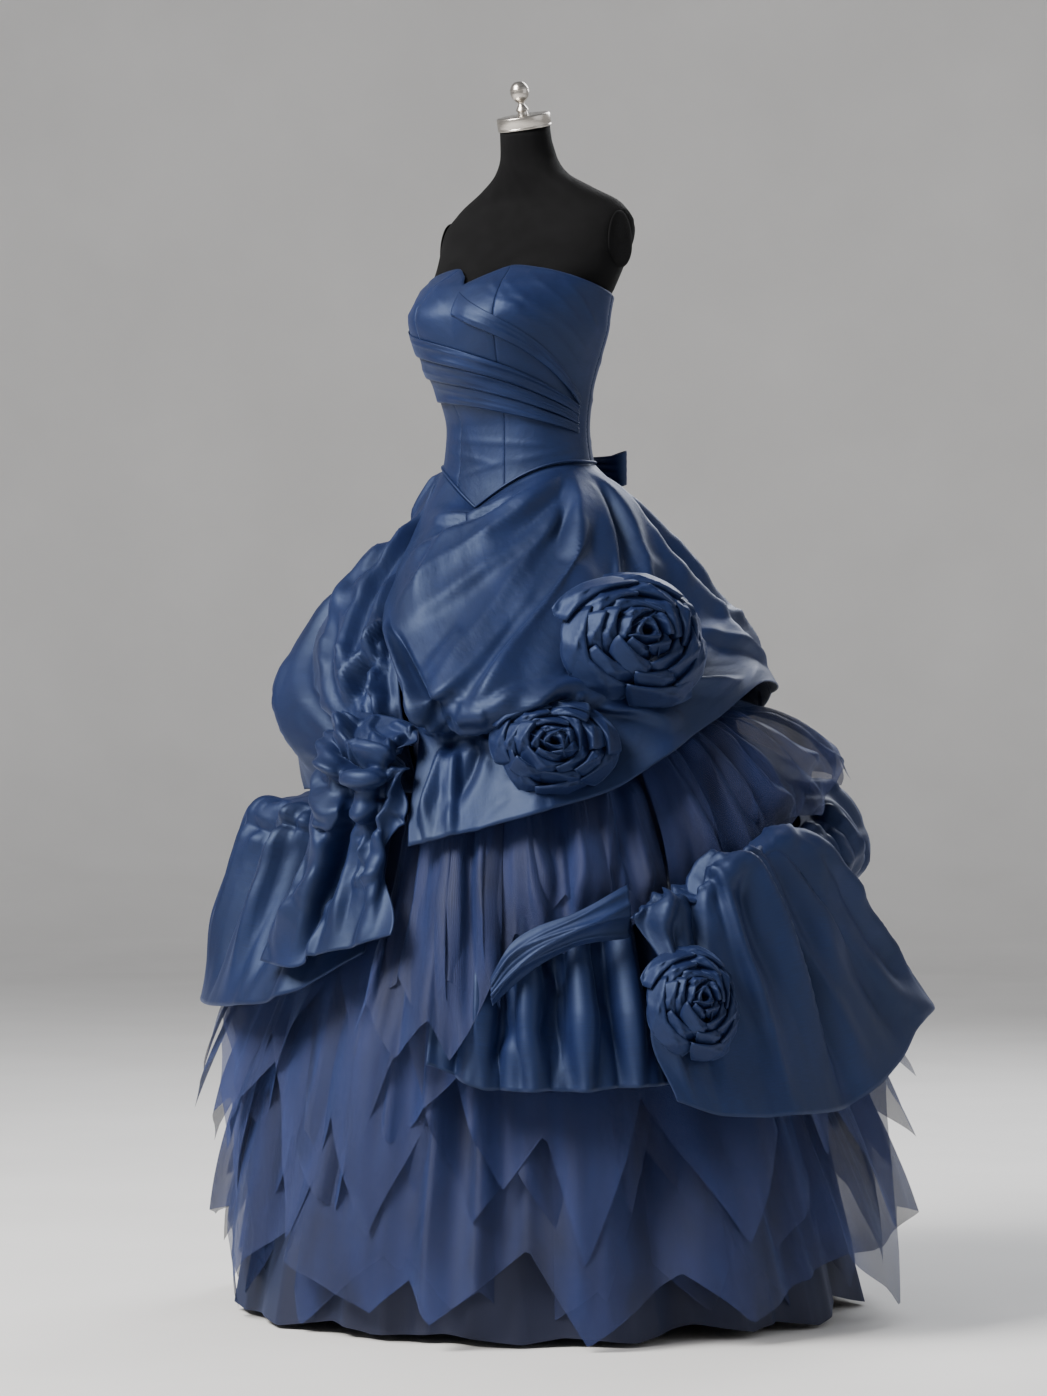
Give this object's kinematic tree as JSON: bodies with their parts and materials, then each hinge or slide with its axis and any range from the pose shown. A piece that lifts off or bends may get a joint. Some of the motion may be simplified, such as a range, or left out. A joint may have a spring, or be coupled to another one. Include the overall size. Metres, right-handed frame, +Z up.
{
  "type": "ball gown on a limbless dress form",
  "caption": "Strapless taffeta ball gown with a draped bodice, a picked-up overskirt, tulle underskirts and fabric roses, worn by a black limbless dress form on a stand.",
  "frame": {"origin": "middle of the underside of the stand's round base, on the floor, under the dress form's axis", "axes": "+Z up; -Y is the wearer's front, +X is the wearer's left"},
  "size_m": [1.0217, 0.9895, 1.6683],
  "materials": {
    "taffeta": "royal blue silk taffeta with a soft sheen",
    "tulle": "matt sheer blue tulle in layers",
    "jersey": "matt black stretch jersey",
    "nickel": "brushed nickel",
    "steel": "black powder coat"
  },
  "bodies": {
    "root": {"back_puff": "taffeta", "basque_piping": "taffeta", "bodice_back_left": "taffeta", "bodice_back_right": "taffeta", "bodice_centre_front": "taffeta", "bodice_pleat_1": "taffeta", "bodice_pleat_2": "taffeta", "bodice_pleat_3": "taffeta", "bodice_pleat_4": "taffeta", "bodice_side_front_left": "taffeta", "bodice_side_front_right": "taffeta", "bow_knot": "taffeta", "bow_loop_left": "taffeta", "bow_loop_right": "taffeta", "cascade": "taffeta", "finial": "nickel", "flounce_back": "taffeta", "flounce_left": "taffeta", "flounce_right": "taffeta", "form_arm_plate_left": "jersey", "form_arm_plate_right": "jersey", "form_torso": "jersey", "neck_cap": "nickel", "overskirt_back": "taffeta", "overskirt_front": "taffeta", "overskirt_right": "taffeta", "petticoat_1": "tulle", "petticoat_2": "tulle", "petticoat_3": "tulle", "petticoat_4": "tulle", "petticoat_5": "tulle", "rose_large": "taffeta", "rose_lower": "taffeta", "rose_middle": "taffeta", "sash": "taffeta", "stand_base": "steel", "stand_pole": "steel", "tulle_low_1": "tulle", "tulle_low_2": "tulle", "tulle_low_3": "tulle", "tulle_low_4": "tulle", "tulle_low_5": "tulle", "tulle_mid_1": "tulle", "tulle_mid_2": "tulle", "tulle_mid_3": "tulle", "tulle_mid_4": "tulle", "tulle_mid_5": "tulle", "tulle_upper_front": "tulle", "tulle_upper_left": "tulle", "tulle_upper_middle": "tulle", "under_flounce": "taffeta"}
  },
  "joints": []
}
